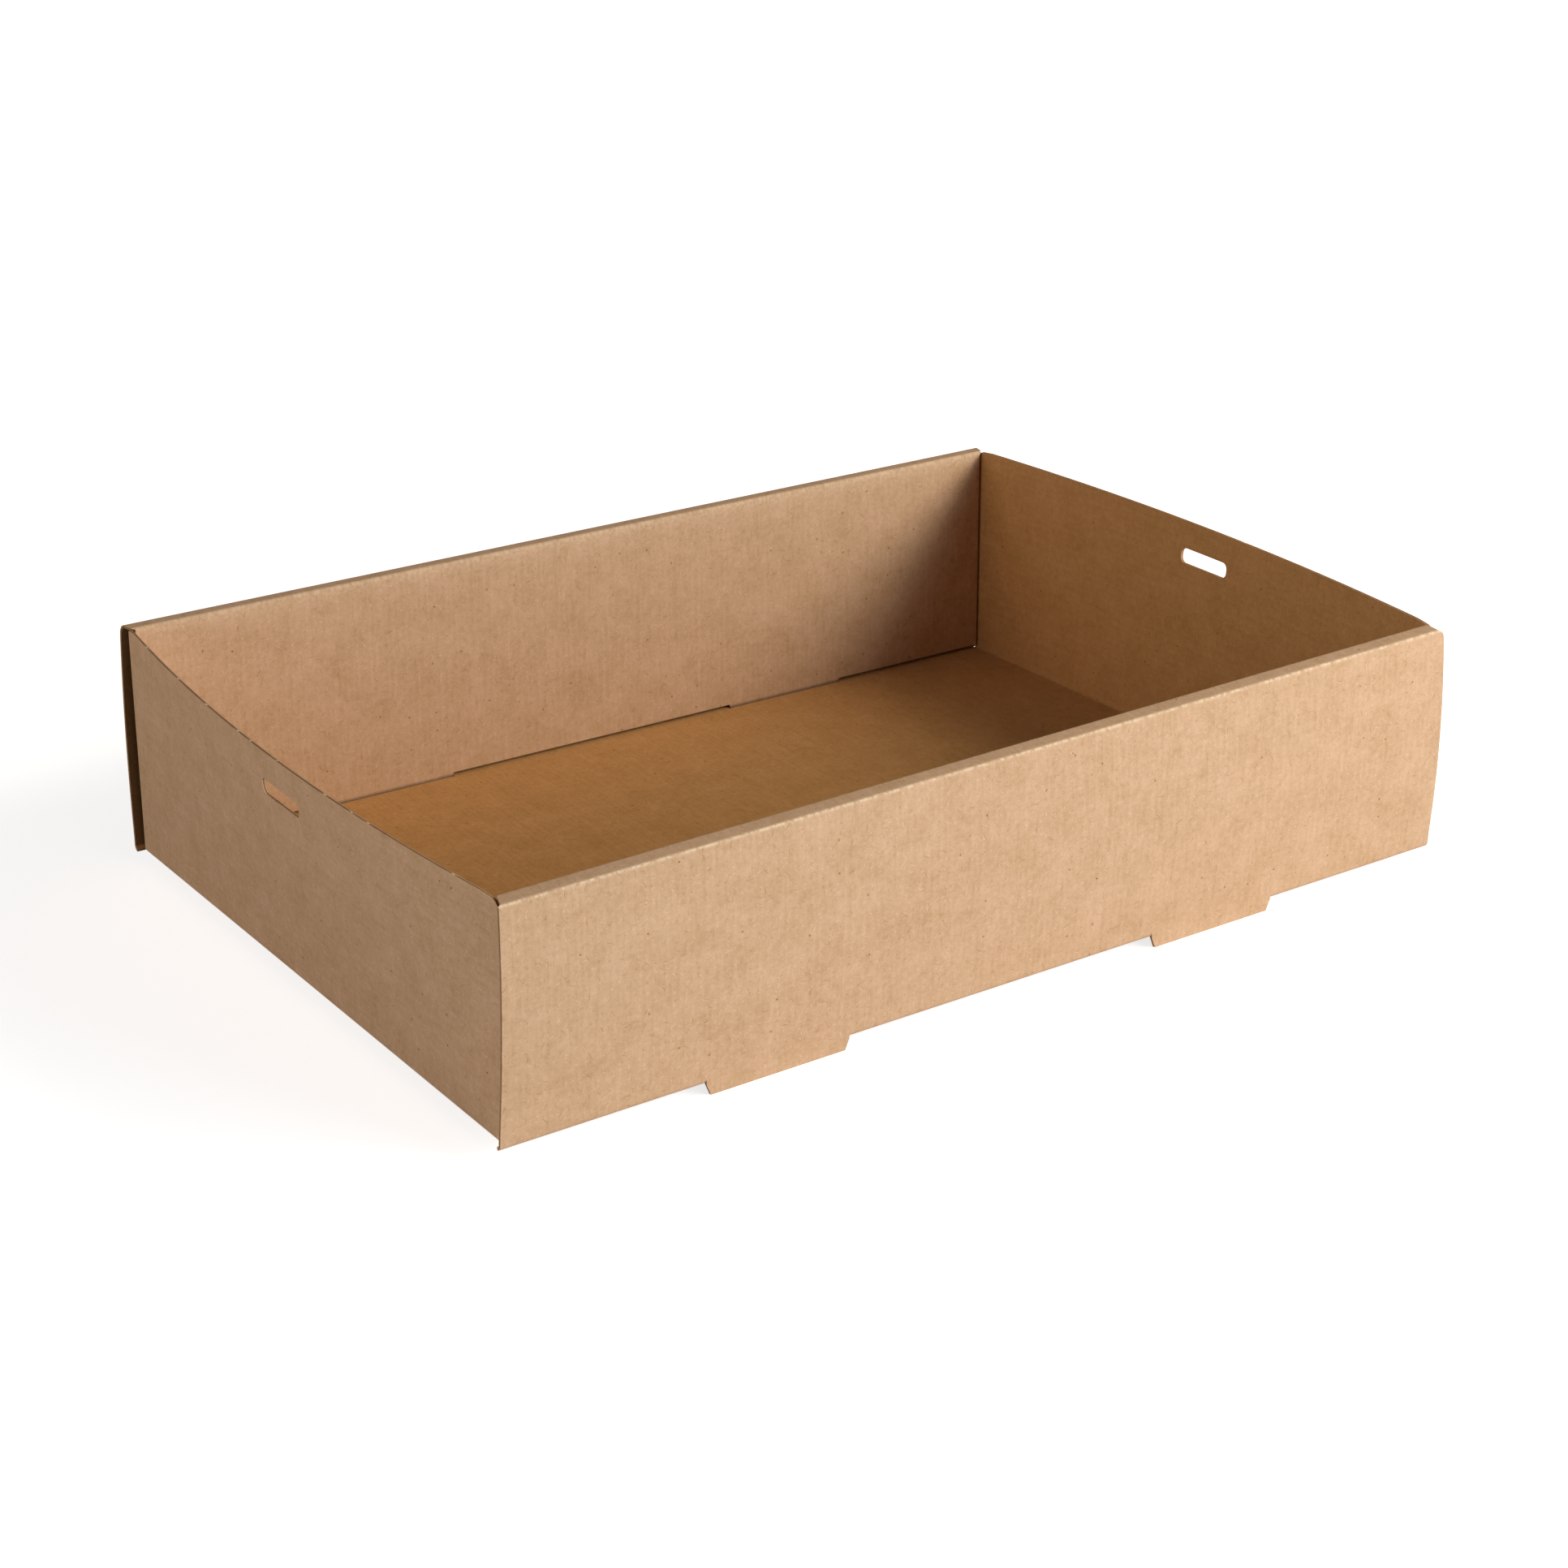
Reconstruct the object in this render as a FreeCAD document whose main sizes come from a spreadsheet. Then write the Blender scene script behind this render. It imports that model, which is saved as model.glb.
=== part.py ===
import FreeCAD, Part
import os
import re
import Sketcher

# Open tray folded from one die-cut sheet of thin corrugated board, in millimetres.
# X runs along the long walls, Y across them, Z up. The origin is the middle of the
# footprint, at the tips of the tongues that the tray stands on.

SIZES = {
    "board": 1.0,
    "tray_length": 360.0,
    "base_width": 245.0,
    "wall_height": 79.2,
    "wall_lean": 2.3,
    "wall_bulge": 2.4,
    "wall_depth": 5.4,
    "ledge_width": 6.0,
    "ledge_rise": 0.7,
    "crease_radius": 0.9,
    "fold_radius": 2.0,
    "end_taper": 1.0,
    "end_round": 3.0,
    "end_round_radius": 4.2,
    "end_setback": 2.0,
    "end_height": 79.7,
    "end_bow": 7.8,
    "corner_radius": 1.3,
    "flap_length": 60.0,
    "ply_gap": 0.35,
    "tongue_spacing": 169.0,
    "tongue_width": 50.7,
    "tongue_depth": 3.7,
    "tongue_taper": 1.5,
    "tab_reach": 1.0,
    "slot_gap": 0.3,
    "foot_gap": 1.3,
    "lid_slot_length": 24.0,
    "lid_slot_height": 5.5,
    "lid_slot_drop": 13.4,
    "lid_slot_shift": 3.0,
    "lid_slot_round": 2.2,
}

# Heights above the table. The underside of the base lies one tongue's depth up.
FOLD_TOP = "(tongue_depth + fold_radius)"
CREASE = "(tongue_depth + wall_height)"
INNER_CREASE = "(tongue_depth + wall_height + ledge_rise)"
FOOT = "(tongue_depth + board + foot_gap)"
TAB_TIP = "(tongue_depth - tab_reach)"
END_TOP = "(tongue_depth + end_height)"
SHOULDER = "(tongue_depth + wall_height - board - ply_gap)"
LID_SLOT = "(tongue_depth + end_height - lid_slot_drop)"

# Distances from the mid-planes.
OUTER_FACE = "(base_width / 2)"
OUTER_CREASE = "(base_width / 2 + wall_lean)"
LEDGE_INSIDE = "(base_width / 2 + wall_lean - ledge_width)"
INNER_FACE = "(base_width / 2 - wall_depth)"
PLATE_SIDE = "(base_width / 2 - fold_radius)"
END_FACE = "(tray_length / 2 - end_setback)"
PLATE_END = "(tray_length / 2 - end_setback - fold_radius)"
FLAP_FOOT = "(base_width / 2 - wall_depth + 2 * board + ply_gap)"
FLAP_TOP = "(base_width / 2 + wall_lean - ledge_width + 2 * board + ply_gap)"
TONGUE_NEAR = "(tongue_spacing / 2 - tongue_width / 2)"
TONGUE_FAR = "(tongue_spacing / 2 + tongue_width / 2)"

# Room that a cut takes beyond the board it cuts.
CLEAR = "5"


def bound(text):
    """Writes an expression's size names as references to the sheet."""
    return re.sub(r"[a-z_]{2,}(?!\w*\()", r"Sizes.\g<0>", text)


def amount(thing, text):
    """Value of an expression at the sheet's present sizes."""
    return float(thing.evalExpression(bound(text)))


def make_sheet(doc):
    """Spreadsheet of the driving dimensions, one named cell each."""
    sheet = doc.addObject("Spreadsheet::Sheet", "Sizes")
    for row, (name, size) in enumerate(SIZES.items(), 1):
        sheet.set(f"A{row}", name)
        sheet.set(f"B{row}", str(size))
        sheet.setAlias(f"B{row}", name)
    doc.recompute()
    return sheet


def make_body(doc, name):
    """An empty body."""
    return doc.addObject("PartDesign::Body", name)


def make_sketch(body, name, plane, offset="0"):
    """An empty sketch on one of the body's origin planes, moved along the plane's normal."""
    sketch = body.newObject("Sketcher::SketchObject", name)
    origin_plane = next(item for item in body.Origin.OriginFeatures if item.Role == plane)
    sketch.AttachmentSupport = [(origin_plane, "")]
    sketch.MapMode = "FlatFace"
    sketch.setExpression("AttachmentOffset.Base.z", bound(offset))
    return sketch


def arc_middle(start, stop, radius, side):
    """Point halfway along the shorter arc, to the right of the way from start to stop if side is 1."""
    chord = stop - start
    rise = radius - (radius ** 2 - (chord.Length / 2) ** 2) ** 0.5
    across = FreeCAD.Vector(chord.y, -chord.x, 0).normalize()
    return start + chord * 0.5 + across * rise * side


def draw_outline(sketch, corners, arcs=None):
    """Closed outline through the corners, each pinned by two expressions.

    An edge is known by the number of its first corner, and arcs gives a radius
    and a side for each edge that is round.
    """
    arcs = arcs or {}
    points = [FreeCAD.Vector(amount(sketch, across), amount(sketch, up), 0) for across, up in corners]
    ends = []
    for number, start in enumerate(points):
        stop = points[(number + 1) % len(points)]
        if number in arcs:
            radius, side = arcs[number]
            middle = arc_middle(start, stop, amount(sketch, radius), side)
            edge = sketch.addGeometry(Part.Arc(start, middle, stop))
        else:
            edge = sketch.addGeometry(Part.LineSegment(start, stop))
        first, last = (edge, 1), (edge, 2)
        if sketch.getPoint(*first).distanceToPoint(start) > sketch.getPoint(*last).distanceToPoint(start):
            first, last = last, first
        ends.append((first, last))
    for number, (first, last) in enumerate(ends):
        following = ends[(number + 1) % len(ends)][0]
        sketch.addConstraint(Sketcher.Constraint("Coincident", *last, *following))
        for kind, text in zip(("DistanceX", "DistanceY"), corners[number]):
            datum = Sketcher.Constraint(kind, -1, 1, *first, amount(sketch, text))
            bind_datum(sketch, datum, text)
    for number, (radius, side) in arcs.items():
        datum = Sketcher.Constraint("Radius", ends[number][0][0], amount(sketch, radius))
        bind_datum(sketch, datum, radius)


def bind_datum(sketch, constraint, text):
    """Adds a dimension and ties it to the sheet."""
    index = sketch.addConstraint(constraint)
    sketch.setExpression(f"Constraints[{index}]", bound(text))


def draw_box(sketch, left, low, right, high):
    """Rectangle between two opposite corners."""
    draw_outline(sketch, [(left, low), (right, low), (right, high), (left, high)])


def add_feature(body, kind, name, sketch):
    """A sketch-based feature of the body."""
    feature = body.newObject(f"PartDesign::{kind}", name)
    feature.Profile = sketch
    return feature


def pad_both_ways(body, name, sketch, length):
    """Extrusion to both sides of the sketch, its whole length given."""
    pad = add_feature(body, "Pad", name, sketch)
    pad.SideType = "Symmetric"
    pad.setExpression("Length", bound(length))
    return pad


def pad_one_way(body, name, sketch, length):
    """Extrusion along the sketch plane's normal."""
    pad = add_feature(body, "Pad", name, sketch)
    pad.setExpression("Length", bound(length))
    return pad


def cut_one_way(body, name, sketch, length):
    """Pocket along the sketch plane's normal."""
    pocket = add_feature(body, "Pocket", name, sketch)
    pocket.Reversed = True
    pocket.setExpression("Length", bound(length))
    return pocket


def cut_both_ways(body, name, sketch, length):
    """Pocket to both sides of the sketch, its whole length given."""
    pocket = add_feature(body, "Pocket", name, sketch)
    pocket.SideType = "Symmetric"
    pocket.setExpression("Length", bound(length))
    return pocket


def make_base(doc):
    """Base panel between the four folds, with the slots left by the tongues."""
    body = make_body(doc, "BasePanel")
    outline = make_sketch(body, "PanelOutline", "XY_Plane", "tongue_depth")
    draw_box(outline, f"-{PLATE_END}", f"-{PLATE_SIDE}", PLATE_END, PLATE_SIDE)
    pad_one_way(body, "Panel", outline, "board")

    slots = make_sketch(body, "SlotOutlines", "XY_Plane", "tongue_depth")
    for end in ("", "-"):
        for side in ("", "-"):
            draw_box(
                slots,
                f"{end}{TONGUE_NEAR}", f"{side}({INNER_FACE} - slot_gap)",
                f"{end}{TONGUE_FAR}", f"{side}({PLATE_SIDE} + {CLEAR})",
            )
    cut_both_ways(body, "Slots", slots, f"4 * board + {CLEAR}")
    return body


def add_long_fold(body):
    """Fold between the base and the outer ply, left out where the tongues are."""
    section = make_sketch(body, "FoldSection", "YZ_Plane")
    corners = [
        (PLATE_SIDE, "tongue_depth"),
        (OUTER_FACE, FOLD_TOP),
        (f"{OUTER_FACE} - board", FOLD_TOP),
        (PLATE_SIDE, "tongue_depth + board"),
    ]
    draw_outline(section, corners, {0: ("fold_radius", 1), 2: ("fold_radius - board", -1)})
    pad_both_ways(body, "Fold", section, "tray_length")

    gaps = make_sketch(body, "TongueGapOutlines", "XY_Plane")
    for end in ("", "-"):
        low, high = f"{PLATE_SIDE} - {CLEAR}", f"{OUTER_FACE} + {CLEAR}"
        draw_box(gaps, f"{end}{TONGUE_NEAR}", low, f"{end}{TONGUE_FAR}", high)
    cut_both_ways(body, "TongueGaps", gaps, f"2 * ({FOLD_TOP} + {CLEAR})")


def add_tongues(body):
    """Two tapered tongues that carry the outer ply down to the table."""
    outlines = make_sketch(body, "TongueOutlines", "XZ_Plane", f"-{OUTER_FACE}")
    for end in ("", "-"):
        corners = [
            (f"{end}{TONGUE_NEAR}", FOLD_TOP),
            (f"{end}{TONGUE_FAR}", FOLD_TOP),
            (f"{end}{TONGUE_FAR}", "tongue_depth"),
            (f"{end}({TONGUE_FAR} - tongue_taper)", "0"),
            (f"{end}({TONGUE_NEAR} + tongue_taper)", "0"),
            (f"{end}{TONGUE_NEAR}", "tongue_depth"),
        ]
        draw_outline(outlines, corners)
    pad_one_way(body, "Tongues", outlines, "board")


def add_outer_ply(body):
    """Outer ply, bulging between base and crease, and the ledge along its top."""
    chord = "((wall_height - fold_radius)^2 + wall_lean^2)"
    bulge_radius = f"({chord} / (8 * wall_bulge) + wall_bulge / 2)"
    section = make_sketch(body, "OuterPlySection", "YZ_Plane")
    corners = [
        (OUTER_FACE, FOLD_TOP),
        (OUTER_CREASE, CREASE),
        (LEDGE_INSIDE, INNER_CREASE),
        (LEDGE_INSIDE, f"{INNER_CREASE} - board"),
        (f"{OUTER_CREASE} - board", f"{CREASE} - board"),
        (f"{OUTER_FACE} - board", FOLD_TOP),
    ]
    draw_outline(section, corners, {0: (bulge_radius, 1), 4: (bulge_radius, -1)})
    pad_both_ways(body, "OuterPly", section, "tray_length")


def trim_ends(body):
    """Tapers the ends of the outer ply and rounds them into the ledge."""
    outlines = make_sketch(body, "EndTrimOutlines", "XZ_Plane")
    reach = "(tray_length / 2 - end_taper)"
    beyond = f"(tray_length / 2 + {CLEAR})"
    for end, side in (("", 1), ("-", -1)):
        corners = [
            (f"{end}tray_length / 2", "tongue_depth"),
            (f"{end}{reach}", f"{INNER_CREASE} - end_round"),
            (f"{end}({reach} - end_round)", INNER_CREASE),
            (f"{end}({reach} - end_round)", f"{INNER_CREASE} + {CLEAR}"),
            (f"{end}{beyond}", f"{INNER_CREASE} + {CLEAR}"),
            (f"{end}{beyond}", "tongue_depth"),
        ]
        draw_outline(outlines, corners, {1: ("end_round_radius", side)})
    cut_both_ways(body, "EndTrims", outlines, f"2 * ({OUTER_CREASE} + wall_bulge + {CLEAR})")


def add_inner_ply(body):
    """Inner ply, folded down inside the tray, with two tabs that enter the base's slots."""
    half_length = "(tray_length / 2 - end_taper - end_round)"
    section = make_sketch(body, "InnerPlySection", "YZ_Plane")
    corners = [
        (LEDGE_INSIDE, INNER_CREASE),
        (INNER_FACE, TAB_TIP),
        (f"{INNER_FACE} + board", TAB_TIP),
        (f"{LEDGE_INSIDE} + board", f"{INNER_CREASE} - board / 2"),
    ]
    draw_outline(section, corners)
    pad_both_ways(body, "InnerPly", section, f"2 * {half_length}")

    near, far = f"({TONGUE_NEAR} + tongue_taper)", f"({TONGUE_FAR} - tongue_taper)"
    foot = make_sketch(body, "FootOutlines", "XZ_Plane", f"-({INNER_FACE} + board + ply_gap)")
    draw_outline(foot, [
        (f"-{TONGUE_NEAR}", FOOT),
        (TONGUE_NEAR, FOOT),
        (near, TAB_TIP),
        (f"-{near}", TAB_TIP),
    ])
    for end in ("", "-"):
        draw_outline(foot, [
            (f"{end}{TONGUE_FAR}", FOOT),
            (f"{end}({half_length} + {CLEAR})", FOOT),
            (f"{end}({half_length} + {CLEAR})", TAB_TIP),
            (f"{end}{far}", TAB_TIP),
        ])
    cut_one_way(body, "Foot", foot, f"2 * board + {CLEAR}")


def round_creases(doc, body):
    """Rounds both creases of the ledge on the side that is seen."""
    doc.recompute()
    creases = [
        (amount(body, OUTER_CREASE), amount(body, CREASE)),
        (amount(body, LEDGE_INSIDE), amount(body, INNER_CREASE)),
    ]
    fillet = body.newObject("PartDesign::Fillet", "Creases")
    fillet.Base = (fillet.BaseFeature, edges_along(fillet.BaseFeature.Shape, creases))
    fillet.setExpression("Radius", bound("crease_radius"))


def edges_along(shape, places):
    """Names of the edges along X that lie at one of the places, given as Y and Z."""
    names = []
    for number, edge in enumerate(shape.Edges, 1):
        middle = edge.BoundBox.Center
        along = edge.BoundBox.XLength > edge.Length * 0.99
        if along and any(abs(middle.y - y) + abs(middle.z - z) < 0.01 for y, z in places):
            names.append(f"Edge{number}")
    return names


def make_long_wall(doc):
    """Back long wall: fold, tongues, bulging outer ply, ledge and inner ply."""
    body = make_body(doc, "LongWall")
    add_long_fold(body)
    add_tongues(body)
    add_outer_ply(body)
    trim_ends(body)
    add_inner_ply(body)
    round_creases(doc, body)
    return body


def end_section(body, name, height, flap_face, bow=None):
    """Level section of an end wall and its two corner flaps, bowed outwards if bow is given."""
    half_width = f"({flap_face} - corner_radius)"
    flap_end = f"({END_FACE} - flap_length)"
    bend = f"({END_FACE} - corner_radius)"
    inside = f"({END_FACE} - board)"
    flap_inside = f"({flap_face} - board)"
    section = make_sketch(body, name, "XY_Plane", height)
    corners = [
        (flap_end, flap_face),
        (bend, flap_face),
        (END_FACE, half_width),
        (END_FACE, f"-{half_width}"),
        (bend, f"-{flap_face}"),
        (flap_end, f"-{flap_face}"),
        (flap_end, f"-{flap_inside}"),
        (bend, f"-{flap_inside}"),
        (inside, f"-{half_width}"),
        (inside, half_width),
        (bend, flap_inside),
        (flap_end, flap_inside),
    ]
    inner_radius = "(corner_radius - board)"
    arcs = {
        1: ("corner_radius", -1),
        3: ("corner_radius", -1),
        7: (inner_radius, 1),
        9: (inner_radius, 1),
    }
    if bow:
        bow_radius = f"({half_width}^2 / (2 * {bow}) + {bow} / 2)"
        arcs[2] = (bow_radius, -1)
        arcs[8] = (bow_radius, 1)
    draw_outline(section, corners, arcs)
    return section


def add_end_fold(body):
    """Fold between the base and the end wall."""
    section = make_sketch(body, "EndFoldSection", "XZ_Plane")
    corners = [
        (PLATE_END, "tongue_depth"),
        (END_FACE, FOLD_TOP),
        (f"{END_FACE} - board", FOLD_TOP),
        (PLATE_END, "tongue_depth + board"),
    ]
    draw_outline(section, corners, {0: ("fold_radius", 1), 2: ("fold_radius - board", -1)})
    pad_both_ways(body, "EndFold", section, f"2 * ({FLAP_FOOT} - corner_radius)")


def add_end_panel(body):
    """End wall and corner flaps, straight at the foot and bowed outwards at the top."""
    foot = end_section(body, "EndFootSection", FOLD_TOP, FLAP_FOOT)
    top = end_section(body, "EndTopSection", END_TOP, FLAP_TOP, "end_bow")
    panel = add_feature(body, "AdditiveLoft", "EndPanel", foot)
    panel.Sections = [top]
    panel.Ruled = True

    shoulders = make_sketch(body, "ShoulderOutlines", "YZ_Plane")
    for side in ("", "-"):
        draw_box(
            shoulders,
            f"{side}({LEDGE_INSIDE} - ply_gap)", SHOULDER,
            f"{side}({FLAP_TOP} + {CLEAR})", f"{END_TOP} + {CLEAR}",
        )
    cut_both_ways(body, "Shoulders", shoulders, f"tray_length + {CLEAR}")


def cut_lid_slot(body):
    """Rounded slot near the top edge, a little off the middle, for the tab of a lid."""
    outline = make_sketch(body, "LidSlotOutline", "YZ_Plane")
    length, height = "(lid_slot_length / 2)", "(lid_slot_height / 2)"
    flat, rise = f"({length} - lid_slot_round)", f"({height} - lid_slot_round)"
    places = [
        (f"-{flat}", f"-{height}"),
        (flat, f"-{height}"),
        (length, f"-{rise}"),
        (length, rise),
        (flat, height),
        (f"-{flat}", height),
        (f"-{length}", rise),
        (f"-{length}", f"-{rise}"),
    ]
    corners = [(f"{across} - lid_slot_shift", f"{LID_SLOT} + {up}") for across, up in places]
    draw_outline(outline, corners, {edge: ("lid_slot_round", 1) for edge in (1, 3, 5, 7)})
    cut_both_ways(body, "LidSlot", outline, f"tray_length + 2 * end_bow + {CLEAR}")


def make_end_wall(doc):
    """Right end wall with its corner flaps."""
    body = make_body(doc, "EndWall")
    add_end_fold(body)
    add_end_panel(body)
    cut_lid_slot(body)
    return body


def mirror(doc, name, source, normal):
    """Copy of a piece on the other side of a mid-plane."""
    copy = doc.addObject("Part::Mirroring", name)
    copy.Source = source
    copy.Base = (0, 0, 0)
    copy.Normal = normal
    return copy


def make_tray(doc):
    """The whole folded sheet as one solid."""
    long_wall = make_long_wall(doc)
    end_wall = make_end_wall(doc)
    tray = doc.addObject("Part::MultiFuse", "TrayBox")
    tray.Shapes = [
        make_base(doc),
        long_wall,
        mirror(doc, "FrontWall", long_wall, (0, 1, 0)),
        end_wall,
        mirror(doc, "LeftWall", end_wall, (1, 0, 0)),
    ]
    tray.Refine = True
    tray.Label = "tray_box"
    tray.Placement = FreeCAD.Placement()
    return tray


def check(doc, pieces):
    """Stops if a feature failed, or if a piece isn't one valid solid."""
    failed = [item.Name for item in doc.Objects if {"Invalid", "Error"} & set(item.State)]
    if failed:
        raise RuntimeError(f"failed: {failed}")
    for piece in pieces:
        shape = piece.Shape
        if shape.isNull() or not shape.isValid() or len(shape.Solids) != 1:
            raise RuntimeError(f"{piece.Label} isn't one valid solid")


def main():
    doc = FreeCAD.newDocument("Tray")
    make_sheet(doc)
    pieces = [make_tray(doc)]
    doc.recompute()
    check(doc, pieces)
    os.makedirs("parts", exist_ok=True)
    for piece in pieces:
        piece.Shape.exportStep(f"parts/{piece.Label}.step")
        box = piece.Shape.BoundBox
        print(piece.Label, round(box.XLength, 2), round(box.YLength, 2), round(box.ZLength, 2))
        print("volume", round(piece.Shape.Volume, 1), "lowest point", round(box.ZMin, 3))


main()
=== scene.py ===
import bpy
import numpy as np
from mathutils import Euler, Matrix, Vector


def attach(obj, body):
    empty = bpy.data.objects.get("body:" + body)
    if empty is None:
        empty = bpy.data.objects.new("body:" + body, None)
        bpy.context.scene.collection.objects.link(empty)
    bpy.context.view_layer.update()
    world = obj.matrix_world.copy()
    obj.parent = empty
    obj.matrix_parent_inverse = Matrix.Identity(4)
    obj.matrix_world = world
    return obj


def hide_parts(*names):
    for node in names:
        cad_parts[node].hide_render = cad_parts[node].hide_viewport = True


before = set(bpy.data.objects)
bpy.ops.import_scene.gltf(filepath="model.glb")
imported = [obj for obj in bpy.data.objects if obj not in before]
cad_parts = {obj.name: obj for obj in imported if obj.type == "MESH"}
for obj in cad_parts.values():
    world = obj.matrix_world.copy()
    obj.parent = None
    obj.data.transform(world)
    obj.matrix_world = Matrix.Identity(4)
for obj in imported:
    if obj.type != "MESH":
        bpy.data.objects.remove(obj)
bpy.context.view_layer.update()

# Lengths are in millimetres in the frame of the CAD part, and turn to metres where a mesh is made.
MM = 0.001

# Places that lie nearer to each other than this are the same.
CLOSE = 1e-6

# The board and its base panel, as the part's source has them. FOLD_LENGTH is the fold's width in the blank.
BOARD = 1.0
HALF = BOARD / 2
TONGUE = 3.7
BASE_MIDDLE = TONGUE + HALF
FOLD_TOP = 5.7
FOLD_BEND = 1.5
FOLD_LENGTH = 2.4
FOLD_STEPS = 6
PLATE_END = 176.0
PLATE_SIDE = 120.5
NOTCH = 116.8
TONGUE_NEAR = 59.15
TONGUE_FAR = 109.85
TONGUE_TAPER = 1.5
TAB_TIP = 2.7

# Long walls: corners of the path as (distance from the middle, height), and its bends. Where a table
# is keyed by side, -1 is the front and 1 the back; by end, -1 is the left and 1 the right.
PLY_FOOT = (122.0, FOLD_TOP)
OUTER_CORNERS = {-1: (124.3, 82.36), 1: (124.3, 82.9)}
INNER_CORNER = (119.3, 83.02)
INNER_FOOT = (117.67, 6.0)
OUTER_BEND = 0.75
INNER_BEND = 0.62
OUTER_STEPS = 10
INNER_STEPS = 8

# Outward bulge of each outer ply: in the middle, and how much more of it there is towards the right.
BULGE = {-1: (1.69, 0.26), 1: (1.57, 0.0)}

# Ends of the long walls along X. A wall's end tapers, and turns into the ledge's over CORNER_ROUND
# below CREASE_HEIGHT.
TRAY_END = 180.0
TAPERED_END = 179.0
TAPER_TOP = 81.0
CORNER_ROUND = 2.6
CREASE_HEIGHT = 82.6
CORNER_POWER = 2.5
INNER_PLY_END = 176.0
# How far the ledge reaches at its outer and its inner crease, at each corner: side, end.
LEDGE_ENDS = {
    (-1, -1): (179.0, 176.0), (-1, 1): (177.3, 176.0), (1, -1): (178.5, 176.8), (1, 1): (179.2, 176.6),
}

# Folding wears the liner, and a highlight is painted along the crease, over these distances along the
# path: at the outer crease, and before and after the inner crease, which gets a smaller share of both.
OUTER_WEAR_AND_HIGHLIGHT = 0.28
INNER_WEAR_AND_HIGHLIGHT_BEFORE = 0.4
INNER_WEAR_AND_HIGHLIGHT_AFTER = 3.0
INNER_WEAR_AND_HIGHLIGHT_SHARE = 0.4

# End walls: bow at the top of each end, and the rim above the shoulder, which drops near the corners.
END_MIDDLE = 177.5
END_TOP = 83.4
END_BOW = {-1: 8.03, 1: 7.56}
HALF_WIDTH_FOOT = 118.15
HALF_WIDTH_TOP = 119.85
SHOULDER = 81.55
RIM_DROP = 0.9
RIM_FROM = 0.965

# At the front left corner the end wall lies snug against the long wall, from this share of its half
# width on, and its rim stands back by FRONT_GAP.
SNUG_FROM = 0.8
SNUG_FOOT = 1.7
SNUG_RISE = 0.4
SNUG_BULGE = 1.3
FRONT_GAP = 1.2

# Corner flaps inside the long walls, and the bend that leads into them.
CORNER_BEND = 0.8
FLAP_END = 118.0
FLAP_FOOT = 4.85

# Lid slots: size, and centre in each end as (Y, height).
SLOT_LENGTH = 24.0
SLOT_HEIGHT = 5.5
SLOT_ROUND = 2.2
SLOT_CENTRE = {-1: (-3.8, 70.6), 1: (-3.2, 70.9)}

# Rings of the grid round a slot, from the block's border to the slot's edge.
SLOT_RINGS = 5
RING_POWER = 0.8

# Crushed board eases into a wall's slope over this share of its height.
EASE = 0.03


def eased(share):
    """Share of a height, with no slope at the fold: h * h / (h + e) * (1 + e)."""
    return share * share / (share + EASE) * (1 + EASE)


def spread(*stops, step):
    """Values through all the stops, evenly spaced between two stops at about the step."""
    runs = [
        np.linspace(low, high, max(2, int(round((high - low) / step)) + 1))[:-1]
        for low, high in zip(stops[:-1], stops[1:])
    ]
    return np.concatenate(runs + [np.array([stops[-1]])])


# Places of the cross lines along X, the same in the base and the long walls.
LAST_COLUMN = 174.0
inner_columns = spread(0.0, TONGUE_NEAR, TONGUE_FAR, LAST_COLUMN, step=2.9)
INNER_X = np.concatenate([-inner_columns[:0:-1], inner_columns])

# Places of the cross lines across the tray, as shares of an end wall's half width. The block of the
# grid round a lid slot is finer, and one cross line follows the bottom of the base's notches.
BLOCK_Y = (-19.5, 13.0)
BLOCK_Z = (64.9, 76.5)
LAST_EVEN_Y = 113.2
NOTCH_SHARE = NOTCH / HALF_WIDTH_FOOT
SHARES = np.concatenate([
    [-1.0, -NOTCH_SHARE],
    spread(-LAST_EVEN_Y, BLOCK_Y[0], step=3.0)[:-1] / HALF_WIDTH_TOP,
    spread(*BLOCK_Y, step=1.5)[:-1] / HALF_WIDTH_TOP,
    spread(BLOCK_Y[1], LAST_EVEN_Y, step=3.0) / HALF_WIDTH_TOP,
    [NOTCH_SHARE, 1.0],
])
BLOCK_SHARE = (BLOCK_Y[0] / HALF_WIDTH_TOP, BLOCK_Y[1] / HALF_WIDTH_TOP)

panels = []


def add_panel(points, flat, crease=None, hollow=(0.0, 0.0), flip=False):
    """Keeps one panel of the board's middle surface.

    points lie on a grid, flat has their places in the blank, crease says how much folding wears them
    and paints a highlight on them, and hollow whether their outer and inner faces look into a rolled
    wall, where their colour gets painted shade.
    """
    rows, columns = points.shape[:2]
    if crease is None:
        crease = np.zeros((rows, columns))
    corner = np.arange(rows * columns).reshape(rows, columns)
    quads = np.stack([corner[:-1, :-1], corner[:-1, 1:], corner[1:, 1:], corner[1:, :-1]], axis=-1)
    if flip:
        quads = quads[..., ::-1]
    hollow = np.broadcast_to(np.array(hollow), (rows * columns, 2))
    panels.append((
        points.reshape(-1, 3), flat.reshape(-1, 2), crease.reshape(-1), hollow, quads.reshape(-1, 4),
    ))


def stack(*parts):
    """One array from broadcast parts, along a new last axis."""
    return np.stack(np.broadcast_arrays(*parts), axis=-1)


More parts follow.
